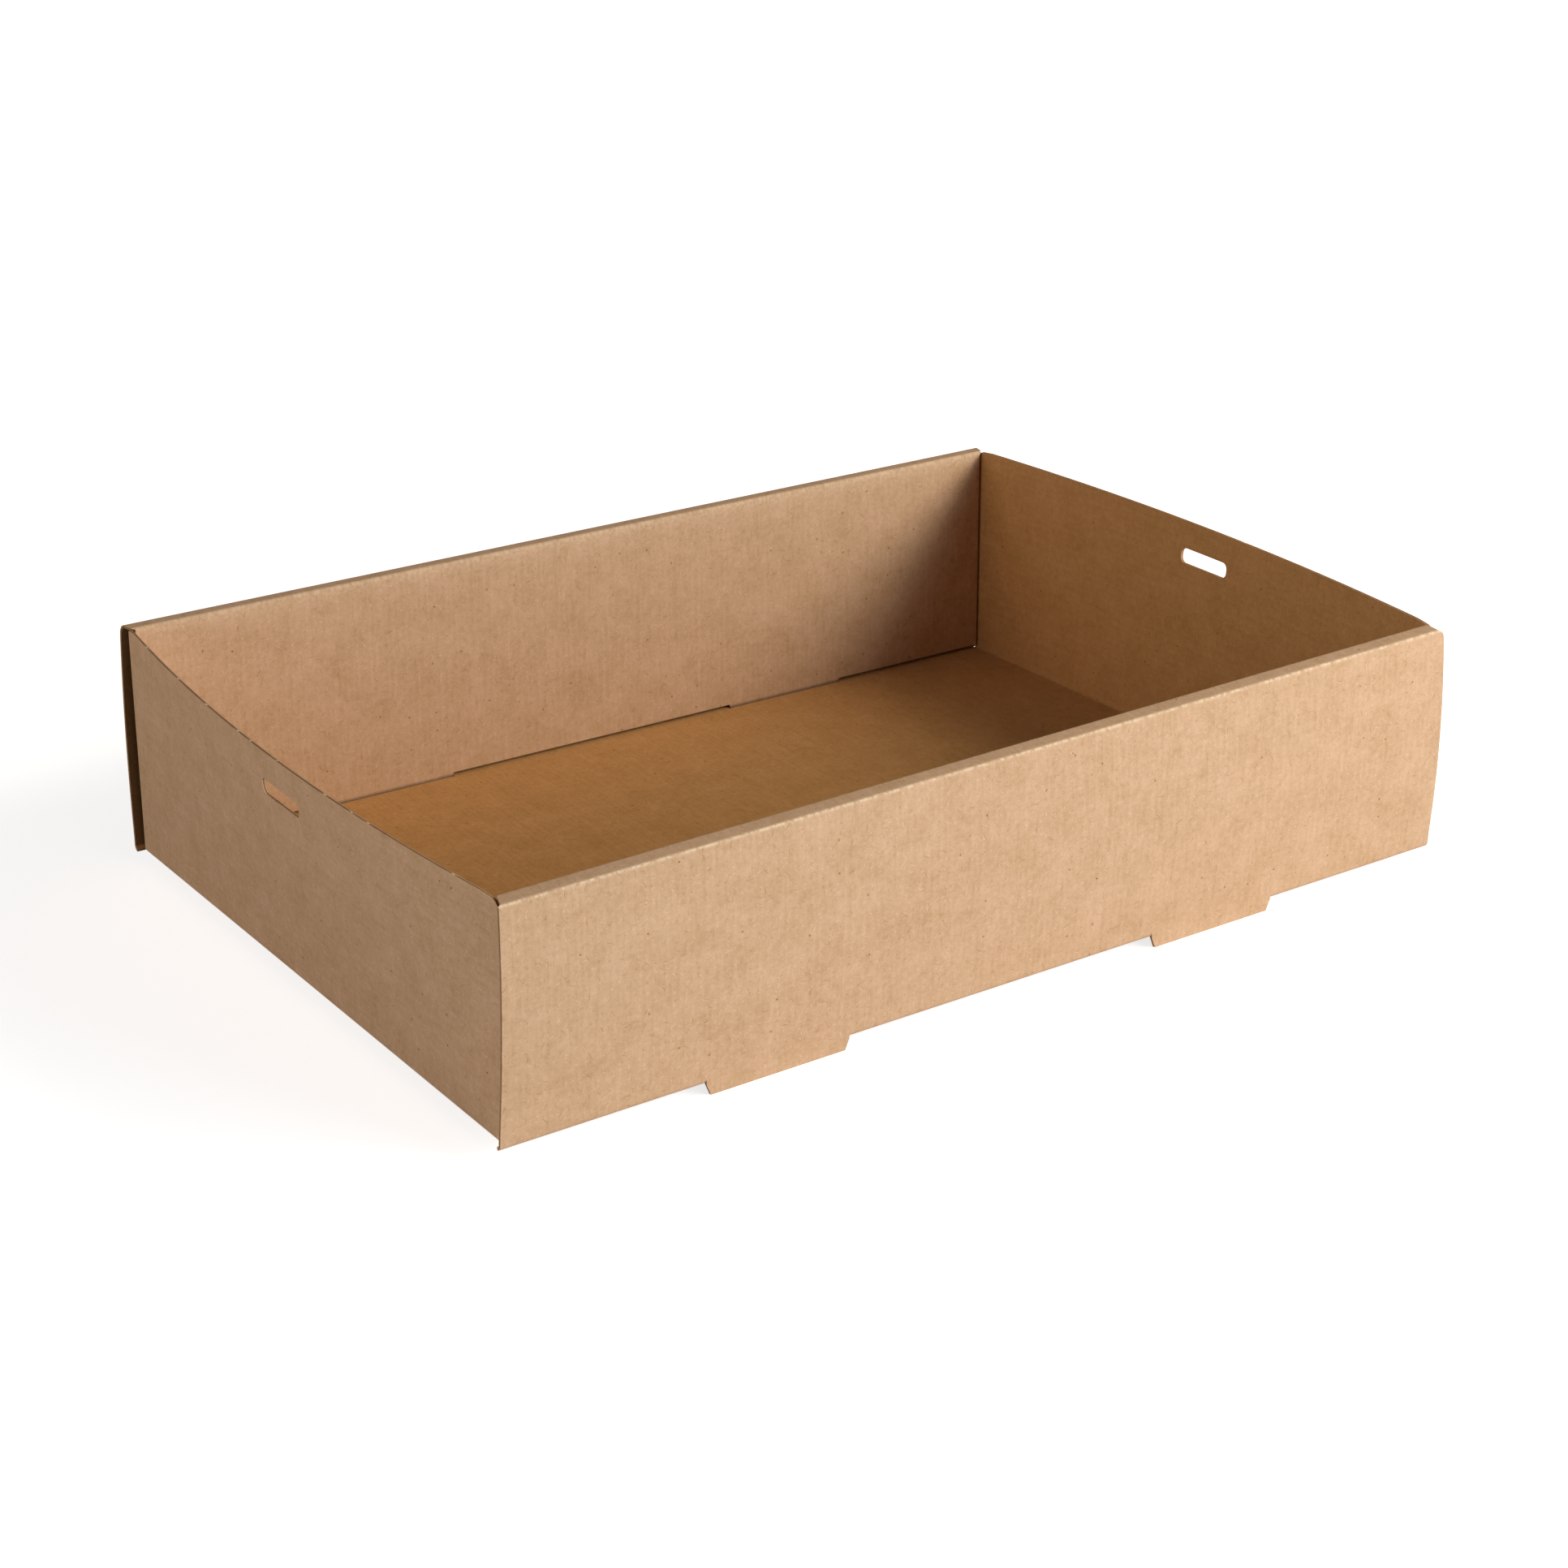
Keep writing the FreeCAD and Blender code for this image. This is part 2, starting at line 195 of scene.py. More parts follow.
def arc(before, corner, after, radius, steps):
    """Round corner of a path: the circle of the radius that touches both runs, at even steps of angle."""
    before, corner, after = (np.array(item, dtype=float) for item in (before, corner, after))
    into = (corner - before) / np.linalg.norm(corner - before)
    out = (after - corner) / np.linalg.norm(after - corner)
    turn = np.arccos(np.clip(into @ out, -1, 1))
    reach = radius * np.tan(turn / 2)
    start = corner - into * reach
    side = out - into * (into @ out)
    side /= np.linalg.norm(side)
    angle = np.linspace(0, turn, steps + 1)[:, None]
    return start + into * radius * np.sin(angle) + side * radius * (1 - np.cos(angle))


def run(start, stop, step):
    """Straight run of a path, without its last point."""
    start, stop = np.array(start, dtype=float), np.array(stop, dtype=float)
    count = max(1, int(round(np.linalg.norm(stop - start) / step)))
    return start + (stop - start) * np.linspace(0, 1, count + 1)[:-1, None]


def wall_columns(left, right):
    """X of every cross line in each row: the fixed lines, and three more up to either end of the row."""
    steps = np.array([1, 2, 3]) / 3
    near, far = (INNER_X[-1] + (ends[:, None] - INNER_X[-1]) * steps for ends in (left, right))
    fixed = np.broadcast_to(INNER_X, (len(left), len(INNER_X)))
    return np.concatenate([-near[:, ::-1], fixed, far], axis=1)


def add_base():
    """Base panel: level grid between the folds, with the notches that the tongues left."""
    x = np.concatenate([[-PLATE_END], INNER_X, [PLATE_END]])
    y = SHARES * HALF_WIDTH_FOOT
    points = stack(x[None, :], y[:, None], BASE_MIDDLE)
    inside = np.abs(y) <= NOTCH + CLOSE
    add_panel(points[inside], points[inside][..., :2], flip=True)
    for side in (-1, 1):
        strip = side * np.array([NOTCH, HALF_WIDTH_FOOT, PLATE_SIDE])
        for low, high in ((-PLATE_END, -TONGUE_FAR), (-TONGUE_NEAR, TONGUE_NEAR), (TONGUE_FAR, PLATE_END)):
            part = x[(x >= low - CLOSE) & (x <= high + CLOSE)]
            points = stack(part[None, :], strip[:, None], BASE_MIDDLE)
            add_panel(points, points[..., :2], flip=side > 0)


def add_long_wall(side):
    """Rolled long wall: one path, from fold over the ledge to the inner foot, carried along X.

    The outer ply stands at d = foot + g(h) * (lean + 4 * bulge * (1 - h)), where h is the share
    of its height and g eases it out of the fold.
    """
    outer_corner = OUTER_CORNERS[side]
    outer = arc(PLY_FOOT, outer_corner, INNER_CORNER, OUTER_BEND, OUTER_STEPS)
    inner = arc(outer_corner, INNER_CORNER, INNER_FOOT, INNER_BEND, INNER_STEPS)
    bend_start = outer[0, 1]
    heights = np.append(spread(FOLD_TOP, 12.0, 76.0, bend_start - 0.9, step=2.6), bend_start - 0.4)
    upright = np.stack([np.full_like(heights, PLY_FOOT[0]), heights], axis=1)
    inner_ply = np.concatenate([run(inner[-1], INNER_FOOT, 2.8), np.array([INNER_FOOT])])
    path = np.concatenate([upright, outer, run(outer[-1], inner[0], 0.8)[1:], inner, inner_ply[1:]])
    share = np.clip((path[:, 1] - FOLD_TOP) / (outer_corner[1] - FOLD_TOP), 0, 1)
    rows = len(upright)
    lean = outer_corner[0] - PLY_FOOT[0]
    path[:rows, 0] += eased(share[:rows]) * lean
    numbers = np.arange(len(path))
    first_ledge = rows + OUTER_STEPS // 2
    last_ledge = len(path) - len(inner_ply) - INNER_STEPS // 2
    swell = np.where(numbers <= first_ledge, eased(share) * 4 * (1 - share), 0.0)

    way = np.gradient(path, axis=0)
    way /= np.linalg.norm(way, axis=1)[:, None]
    face_height = path[:, 1] - way[:, 0] * HALF

    def ends_at(end):
        """X of the wall's end in each row: tapered up to the ledge, slanted over it, straight below."""
        at_outer, at_inner = LEDGE_ENDS[side, end]
        share = np.clip((face_height - FOLD_TOP) / (TAPER_TOP - FOLD_TOP), 0, 1)
        result = TRAY_END - (TRAY_END - TAPERED_END) * share
        into_round = np.clip((face_height - CREASE_HEIGHT) / CORNER_ROUND + 1, 0, 1)
        rounded = result + (at_outer - TAPERED_END) * into_round ** CORNER_POWER
        over = np.clip((numbers - first_ledge) / (last_ledge - first_ledge), 0, 1)
        slanted = at_outer + (at_inner - at_outer) * over
        result = np.where(numbers < first_ledge, rounded, slanted)
        return np.where(numbers > last_ledge, INNER_PLY_END, result)

    length = np.concatenate([[0], np.cumsum(np.linalg.norm(np.diff(path, axis=0), axis=1))])
    x = wall_columns(*(ends_at(end) for end in (-1, 1)))
    depth = path[:, :1] + swell[:, None] * (BULGE[side][0] + BULGE[side][1] * x / PLATE_END)
    points = stack(x, side * depth, path[:, 1:])
    flat = stack(x, side * (PLATE_SIDE + FOLD_LENGTH + length[:, None]))
    past_outer, past_inner = length - length[first_ledge], length - length[last_ledge]
    inner_reach = np.where(past_inner < 0, INNER_WEAR_AND_HIGHLIGHT_BEFORE, INNER_WEAR_AND_HIGHLIGHT_AFTER)
    outer_wear_and_highlight = np.exp(-(past_outer / OUTER_WEAR_AND_HIGHLIGHT) ** 2)
    inner_wear_and_highlight = INNER_WEAR_AND_HIGHLIGHT_SHARE * np.exp(-(past_inner / inner_reach) ** 2)
    crease = np.broadcast_to(np.maximum(outer_wear_and_highlight, inner_wear_and_highlight)[:, None], x.shape)
    # The inner liner's faces lie inside the rolled wall and get painted shade.
    add_panel(points, flat, crease, (0.0, 1.0), flip=side > 0)

    line = points[0]
    add_fold(side, line)
    add_tongues(side, line)
    add_tabs(side, points[-1], flat[-1])


def between(line, low, high):
    """Part of a line of points whose X lies between two values."""
    return line[(line[:, 0] >= low - CLOSE) & (line[:, 0] <= high + CLOSE)]


def add_fold(side, line):
    """Quarter round between base and outer ply, left out where the tongues are."""
    angle = np.linspace(0, np.pi / 2, FOLD_STEPS + 1)[:, None]
    depth = PLATE_SIDE + FOLD_BEND * np.sin(angle)
    height = BASE_MIDDLE + FOLD_BEND * (1 - np.cos(angle))
    for low, high in ((-TRAY_END, -TONGUE_FAR), (-TONGUE_NEAR, TONGUE_NEAR), (TONGUE_FAR, TRAY_END)):
        x = between(line, low, high)[:, 0][None, :]
        add_panel(
            stack(x, side * depth, height), stack(x, side * (PLATE_SIDE + FOLD_BEND * angle)), flip=side > 0,
        )


def tapered(line, inset):
    """X of the cross lines of either tongue or tab, drawn in by the inset at both its ends."""
    for low, high in ((-TONGUE_FAR, -TONGUE_NEAR), (TONGUE_NEAR, TONGUE_FAR)):
        x = between(line, low, high)[:, 0][None, :]
        middle, reach = (low + high) / 2, (high - low) / 2
        yield middle + (x - middle) * (1 - inset / reach)


def add_tongues(side, line):
    """Tapered tongues that carry the outer ply down to the table."""
    height = np.array([0.0, 1.2, 2.5, TONGUE, FOLD_TOP])[:, None]
    inset = TONGUE_TAPER * np.clip(1 - height / TONGUE, 0, 1)
    for x in tapered(line, inset):
        points = stack(x, side * PLY_FOOT[0], height)
        add_panel(points, stack(x, side * (PLATE_SIDE + FOLD_LENGTH - FOLD_TOP + height)), flip=side > 0)


def add_tabs(side, line, flat):
    """Tabs at the foot of the inner ply, which enter the base's slots and get the same painted shade as the
    hollows.
    """
    drop = np.array([0.0, 1.1, 2.2, INNER_FOOT[1] - TAB_TIP])[:, None]
    inset = TONGUE_TAPER * drop / drop[-1]
    slope = (INNER_CORNER[0] - INNER_FOOT[0]) / (INNER_CORNER[1] - INNER_FOOT[1])
    for x in tapered(line, inset):
        points = stack(x, side * (INNER_FOOT[0] - slope * drop), INNER_FOOT[1] - drop)
        add_panel(points, stack(x, flat[0, 1] + side * drop), None, (1.0, 1.0), flip=side > 0)


def end_surface(end, share, height):
    """Middle surface of an end wall at a share of its half width, with X outward.

    x = corner + bow(h) * (1 - share^2), where the bow grows with the height h and meets the
    corner's round along its tangent. At the front left corner the wall lies snug against the
    rolled wall, which hides the hollow.
    """
    rise = np.clip((height - FOLD_TOP) / (END_TOP - FOLD_TOP), 0, 1)
    bow = END_BOW[end] * eased(rise)
    half_width = HALF_WIDTH_FOOT + (HALF_WIDTH_TOP - HALF_WIDTH_FOOT) * rise
    tilt = np.arctan(2 * bow / half_width)
    width = half_width + CORNER_BEND * np.sin(tilt)
    corner = END_MIDDLE - CORNER_BEND * (1 - np.cos(tilt))
    snug = SNUG_FOOT + SNUG_RISE * rise + 4 * SNUG_BULGE * rise * (1 - rise) if end < 0 else 0.0
    beside = np.clip((-share - SNUG_FROM) / (1 - SNUG_FROM), 0, 1) * snug
    return corner + bow * (1 - share ** 2), share * width - beside, half_width + beside, tilt


def add_end_wall(end):
    """End wall with its fold, its lid slot and the two corner flaps."""
    block_low, block_high = BLOCK_Z
    low_rows = spread(FOLD_TOP, 12.0, block_low, step=3.0)
    block_rows = spread(block_low, block_high, step=1.45)
    high_rows = spread(block_high, SHOULDER, step=1.8)
    rim_rows = np.array([SHOULDER, 82.5, END_TOP])

    def wall(heights, shares):
        """Grid of the wall, and its place in the blank."""
        height, share = heights[:, None], shares[None, :]
        over = np.clip((height - SHOULDER) / (END_TOP - SHOULDER), 0, 1)
        height = height - RIM_DROP * over * np.clip((np.abs(share) - RIM_FROM) / (1 - RIM_FROM), 0, 1) ** 2
        x, y, _, _ = end_surface(end, share, height)
        y = y + FRONT_GAP * over * np.clip((-share - SNUG_FROM) / (1 - SNUG_FROM), 0, 1) * (end < 0)
        flat = stack(end * (PLATE_END + FOLD_LENGTH + height - FOLD_TOP), share * HALF_WIDTH_TOP)
        return stack(end * x, y, height), flat

    flip = end < 0
    left, right = SHARES[SHARES <= BLOCK_SHARE[0] + CLOSE], SHARES[SHARES >= BLOCK_SHARE[1] - CLOSE]
    centre = SHARES[(SHARES >= BLOCK_SHARE[0] - CLOSE) & (SHARES <= BLOCK_SHARE[1] + CLOSE)]
    for heights, shares in (
        (low_rows, SHARES), (block_rows, left), (block_rows, right), (high_rows, SHARES), (rim_rows, SHARES),
    ):
        add_panel(*wall(heights, shares), flip=flip)
    add_slot_ring(end, wall(block_rows, centre)[0], flip)

    angle = np.linspace(0, np.pi / 2, FOLD_STEPS + 1)[:, None]
    y = SHARES[None, :] * HALF_WIDTH_FOOT
    points = stack(
        end * (PLATE_END + FOLD_BEND * np.sin(angle)), y, BASE_MIDDLE + FOLD_BEND * (1 - np.cos(angle)),
    )
    add_panel(points, stack(end * (PLATE_END + FOLD_BEND * angle), y), flip=flip)

    heights = np.concatenate([[FLAP_FOOT], low_rows, block_rows[1:], high_rows[1:]])[:, None]
    part = np.linspace(0, 1, FOLD_STEPS + 1)[None, :]
    centre_x = END_MIDDLE - CORNER_BEND
    back = spread(FLAP_END, centre_x, step=4.0)[::-1][None, :]
    for side in (-1, 1):
        _, _, half_width, tilt = end_surface(end, float(side), heights)
        turn = tilt + (np.pi / 2 - tilt) * part
        bend_x = centre_x + CORNER_BEND * np.cos(turn)
        bend_y = half_width + CORNER_BEND * np.sin(turn)
        along = HALF_WIDTH_TOP + CORNER_BEND * turn
        up = end * (PLATE_END + FOLD_LENGTH + heights - FOLD_TOP)
        flap_flip = end * side < 0
        add_panel(stack(end * bend_x, side * bend_y, heights), stack(up, side * along), flip=flap_flip)
        along = HALF_WIDTH_TOP + CORNER_BEND * np.pi / 2 + (centre_x - back)
        points = stack(end * back, side * (half_width + CORNER_BEND), heights)
        # The flap stands inside the rolled wall, so both its faces get painted shade.
        add_panel(points, stack(up, side * along), None, (1.0, 1.0), flip=flap_flip)


def slot_outline(count):
    """Rounded slot about its centre, counterclockwise from the middle of its right end.

    Points are spread by length plus radius times turn, so that the round corners get twice as many.
    """
    length, height, radius = SLOT_LENGTH / 2, SLOT_HEIGHT / 2, SLOT_ROUND
    points_a_corner = 25
    quarter = np.linspace(0, np.pi / 2, points_a_corner)
    corners = [
        (length - radius, height - radius, 0), (radius - length, height - radius, np.pi / 2),
        (radius - length, radius - height, np.pi), (length - radius, radius - height, 1.5 * np.pi),
    ]
    pieces = [np.array([[length, 0.0]])]
    pieces += [
        np.stack([cx + radius * np.cos(quarter + turn), cy + radius * np.sin(quarter + turn)], axis=1)
        for cx, cy, turn in corners
    ]
    line = np.concatenate(pieces + [np.array([[length, 0.0]])])
    step = np.linalg.norm(np.diff(line, axis=0), axis=1)
    on_arc = np.zeros(len(step))
    for number in range(4):
        on_arc[1 + points_a_corner * number:points_a_corner * (number + 1)] = 1
    travel = np.concatenate([[0], np.cumsum(step * (1 + on_arc))])
    places = np.linspace(0, travel[-1], count + 1)[:-1]
    return np.stack([np.interp(places, travel, line[:, axis]) for axis in (0, 1)], axis=1)


def add_slot_ring(end, block, flip):
    """Board round the lid slot: rings that blend the block's border into the slot's outline."""
    rows, columns = block.shape[:2]
    middle = rows // 2
    border = np.concatenate([
        block[middle:-1, -1], block[-1, :0:-1], block[:0:-1, 0], block[0, :-1], block[:middle, -1],
    ])
    outline = slot_outline(len(border))
    outline += SLOT_CENTRE[end]
    blend = np.linspace(0, 1, SLOT_RINGS)[:, None, None] ** RING_POWER
    places = border[None, :, 1:] * (1 - blend) + outline[None] * blend
    places = np.concatenate([places, places[:, :1]], axis=1)
    y, height = places[..., 0], places[..., 1]
    _, width, _, _ = end_surface(end, 1.0, height)
    x, _, _, _ = end_surface(end, y / width, height)
    flat = stack(end * (PLATE_END + FOLD_LENGTH + height - FOLD_TOP), y / width * HALF_WIDTH_TOP)
    add_panel(stack(end * x, y, height), flat, flip=flip)


# The photographed tray stands a little out of true: how far each corner lies from the even shape, at
# its foot and at its top. The corners are those of a block of these sizes on the base's level.
TRUE_LENGTH = 356
TRUE_WIDTH = 244
TRUE_HEIGHT = 79.5
CORNER_SHIFT = {
    ("front", "left"): ((-0.64, -0.92, 0.0), (-0.55, -0.78, -3.52)),
    ("front", "right"): ((0.96, 0.25, 0.0), (-0.40, 1.84, 0.0)),
    ("back", "left"): ((0.85, 1.31, 0.0), (1.69, 0.28, 0.0)),
    ("back", "right"): ((-2.58, -2.49, 0.0), (0.32, 0.56, 0.0)),
}
# The tongues lie off the middle along X too. The shift fades out over the last part of each wall.
TONGUE_SHIFT = {"front": -2.08, "back": -0.8}
SHIFT_FADE = 60


def out_of_true(points):
    """Moves points by the corner shifts, blended along all three axes, and the tongues along X."""
    x, y, z = points.T
    across = {"left": 0.5 - x / TRUE_LENGTH, "right": 0.5 + x / TRUE_LENGTH}
    deep = {"front": 0.5 - y / TRUE_WIDTH, "back": 0.5 + y / TRUE_WIDTH}
    up = np.clip((z - TONGUE) / TRUE_HEIGHT, 0, None)[:, None]
    moved = points.copy()
    for (row, end), (low, high) in CORNER_SHIFT.items():
        weight = (across[end] * deep[row])[:, None]
        moved += weight * ((1 - up) * np.array(low) + up * np.array(high))
    for row, shift in TONGUE_SHIFT.items():
        fade = np.clip((LAST_COLUMN - np.abs(x)) / SHIFT_FADE, 0, 1)
        moved[:, 0] += shift * np.clip(deep[row], 0, 1) * fade
    return moved


def weld(points, spacing=1e-4):
    """Number of the first of each set of equal points, and the set that each point belongs to."""
    keys = np.round(points / spacing).astype(np.int64)
    _, first, index = np.unique(keys, axis=0, return_index=True, return_inverse=True)
    return first, index.reshape(-1)


def vertex_normals(points, quads):
    """Unit normals: the sum of the cross products of each face's diagonals, at its corners."""
    cross = np.cross(points[quads[:, 2]] - points[quads[:, 0]], points[quads[:, 3]] - points[quads[:, 1]])
    cross /= np.linalg.norm(cross, axis=1)[:, None] + 1e-12
    normals = np.zeros_like(points)
    for corner in range(4):
        np.add.at(normals, quads[:, corner], cross)
    return normals / np.linalg.norm(normals, axis=1)[:, None]


# Across a cut edge: place through the board from outer to inner liner, and how deep the core lies back.
RIM_PLACE = np.array([0.5, 0.17, 0.13, -0.13, -0.17, -0.5])
RIM_DEPTH = np.array([0.0, 0.0, 0.09, 0.09, 0.0, 0.0])

# Torn nicks of the cutting die on the end walls' top edges, by their place along Y. A nick shows
# on the core where its share lies above these values.
NICKS = {-1: (101.3, 71.2, 47.5, 21.8, 14.2, -4.1, -34.4, -48.7, -59.8, -102.2), 1: (-22.5,)}
NICK_FROM, NICK_FULL = 0.7, 0.85

# Numbers of the materials on the board's mesh.
OUTER_LINER, CORE, INNER_LINER = 0, 1, 2

# The inner liner takes its pattern from another part of the paper, this far along the blank. A
# crease wears it less than the outer liner, and paints a weaker highlight on it.
INNER_LINER_SHIFT = 700.0
INNER_LINER_WEAR_AND_HIGHLIGHT = 0.3


def nick_shares(points):
    """One at the points of the end walls' top edges that are nearest to a nick, and zero elsewhere."""
    nick = np.zeros(len(points))
    for end, places in NICKS.items():
        top = np.flatnonzero((points[:, 0] * end > END_MIDDLE) & (np.abs(points[:, 2] - END_TOP) < CLOSE))
        nick[top[np.argmin(np.abs(points[top, 1][:, None] - np.array(places)), axis=0)]] = 1.0
    return nick


def make_board():
    """Closed mesh of the board: two liners half a board from the middle surface, and the cut edges."""
    offsets = np.cumsum([0] + [len(panel[0]) for panel in panels[:-1]])
    points = np.concatenate([panel[0] for panel in panels])
    flat = np.concatenate([panel[1] for panel in panels])
    crease = np.concatenate([panel[2] for panel in panels])
    hollow = np.concatenate([panel[3] for panel in panels])
    quads = np.concatenate([panel[4] + offset for panel, offset in zip(panels, offsets)])
    first, index = weld(points)
    nick = nick_shares(points[first])
    points, flat, crease, hollow = out_of_true(points[first]), flat[first], crease[first], hollow[first]
    quads = index[quads]
    normals = vertex_normals(points, quads)
    count = len(points)

    # An edge of one face alone is a cut edge of the blank.
    edges = np.concatenate([quads[:, [i, (i + 1) % 4]] for i in range(4)])
    codes = edges[:, 0] * count + edges[:, 1]
    back = edges[:, 1] * count + edges[:, 0]
    cut = edges[~np.isin(codes, back)]
    face_normal = normals[cut[:, 0]] + normals[cut[:, 1]]
    outward = np.cross(points[cut[:, 1]] - points[cut[:, 0]], face_normal)
    outward /= np.linalg.norm(outward, axis=1)[:, None]
    away = np.zeros_like(points)
    np.add.at(away, cut[:, 0], outward)
    np.add.at(away, cut[:, 1], outward)
    rim = np.unique(cut)
    away[rim] /= np.linalg.norm(away[rim], axis=1)[:, None] + 1e-9

    outer = points + normals * HALF
    inner = points - normals * HALF
    slot_of = np.full(count, -1)
    slot_of[rim] = np.arange(len(rim))
    between_liners = [
        points[rim] + normals[rim] * place * BOARD - away[rim] * depth * (1 - nick[rim, None])
        for place, depth in zip(RIM_PLACE[1:-1], RIM_DEPTH[1:-1])
    ]
    everything = np.concatenate([outer, inner] + between_liners)

    lines = len(between_liners)
    levels = [cut] + [2 * count + number * len(rim) + slot_of[cut] for number in range(lines)] + [cut + count]
    bands = [
        np.stack([upper[:, 1], upper[:, 0], lower[:, 0], lower[:, 1]], axis=1)
        for upper, lower in zip(levels[:-1], levels[1:])
    ]
    faces = np.concatenate([quads, quads[:, ::-1] + count] + bands)
    kinds = [OUTER_LINER, INNER_LINER, OUTER_LINER] + [CORE] * (len(bands) - 2) + [OUTER_LINER]
    material = np.repeat(kinds, [len(quads)] * 2 + [len(cut)] * len(bands)).astype(np.int32)
    flat_all = np.concatenate([flat, flat] + [flat[rim]] * lines)[faces]
    flat_all[len(quads):2 * len(quads), :, 1] += INNER_LINER_SHIFT
    crease_all = np.concatenate([crease, crease * INNER_LINER_WEAR_AND_HIGHLIGHT] + [nick[rim]] * lines)
    # Shares of painted shade on the outer and inner liner, and none on the cut edges.
    hollow_all = np.concatenate([hollow[:, 0], hollow[:, 1]] + [np.zeros(len(rim))] * lines)
    return everything, faces, material, flat_all, {"crease": crease_all, "hollow": hollow_all}


# Edges between faces that turn by more than this many degrees are shaded sharp.
SHARP_ANGLE = 38


def build_mesh(name, points, faces, material, flat, shares):
    """Blender object from arrays of points and quads, with the blank's coordinates as its UV map."""
    mesh = bpy.data.meshes.new(name)
    mesh.vertices.add(len(points))
    mesh.vertices.foreach_set("co", (points * MM).ravel())
    mesh.loops.add(faces.size)
    mesh.loops.foreach_set("vertex_index", faces.ravel())
    mesh.polygons.add(len(faces))
    mesh.polygons.foreach_set("loop_start", np.arange(0, faces.size, 4))
    mesh.polygons.foreach_set("material_index", material)
    mesh.polygons.foreach_set("use_smooth", np.ones(len(faces), dtype=bool))
    mesh.update(calc_edges=True)
    uv = mesh.uv_layers.new(name="blank")
    uv.data.foreach_set("uv", (flat * MM).ravel())
    for key, values in shares.items():
        mesh.attributes.new(key, "FLOAT", "POINT").data.foreach_set("value", values.astype(np.float32))
    mesh.validate()
    mesh.set_sharp_from_angle(angle=np.radians(SHARP_ANGLE))
    item = bpy.data.objects.new(name, mesh)
    bpy.context.scene.collection.objects.link(item)
    return item


def linear(text):
    """Linear colour of an sRGB hex value."""
    value = np.array([int(text[i:i + 2], 16) for i in (1, 3, 5)]) / 255
    value = np.where(value <= 0.04045, value / 12.92, ((value + 0.055) / 1.055) ** 2.4)
    return (*value.tolist(), 1.0)


def node(tree, kind, links=None, values=None, **settings):
    """Adds a node with its settings, the values of its inputs, and the links into them."""
    item = tree.nodes.new(kind)
    for key, value in settings.items():
        setattr(item, key, value)
    for key, value in (values or {}).items():
        item.inputs[key].default_value = value
    for key, source in (links or {}).items():
        tree.links.new(source.outputs[0] if hasattr(source, "outputs") else source, item.inputs[key])
    return item


# Sockets of a mix node that mixes colours.
MIX_A, MIX_B, MIX_RESULT = 6, 7, 2


def new_material(name):
    """Material with an output and no other nodes."""
    material = bpy.data.materials.new(name)
    material.use_nodes = True
    tree = material.node_tree
    tree.nodes.clear()
    return material, tree, node(tree, "ShaderNodeOutputMaterial")


# Flutes under the liner, which run along Y of the blank: pitch in millimetres, how far noise makes
# their lines wander in radians, contrast of the lines, and their share of the relief.
FLUTE_PITCH = 2.3
FLUTE_WANDER = 6.0
FLUTE_CONTRAST = 0.014
FLUTE_RELIEF = 0.4
RELIEF_DEPTH = 0.02

# Noise in the paper: cells per millimetre, finer octaves, their strength, share of the contrast.
# The streaks run along the flutes, where they have only this share of the cells.
CLOUDS = (0.075, 1.0, 0.5, 0.50)
MOTTLE = (0.30, 4.0, 1.0, 1.45)
STREAKS = (0.55, 2.0, 0.7, 0.42)
STREAK_SHARE = 0.1

# Fibres on the paper: cell in millimetres, share of cells that have one, half length, half width, contrast.
# The strokes are about twice as wide as real fibres, so that they show at the render's scale.
FIBRES = (
    ("dark hair", 7.0, 0.50, 1.3, 0.08, -0.75),
    ("dark dash", 3.6, 0.45, 0.5, 0.11, -0.55),
    ("pale curl", 3.0, 0.40, 0.6, 0.10, 0.60),
    ("dark speck", 11.0, 0.16, 0.4, 0.30, -1.10),
)

# A stroke fades out between these shares of its half width and half length, and curls by up to this
# many millimetres for each square millimetre along it.
STROKE_FADE = (0.4, 1.3)
STROKE_CURL = 0.3

# Broken line of wear and painted highlight along a crease: cells per millimetre, and the noise between which
# it comes up.
WEAR_AND_HIGHLIGHT_CELLS = 0.7
WEAR_AND_HIGHLIGHT_FROM, WEAR_AND_HIGHLIGHT_TO = 0.4, 0.6
WEAR_AND_HIGHLIGHT_LEAST = 0.2

# Painted shade inside the rolled walls: the paper's colour there is scaled down to this share, standing
# in for the light that the plies, lying close on all sides, keep out.
PAINTED_HOLLOW_SHADE = 0.42


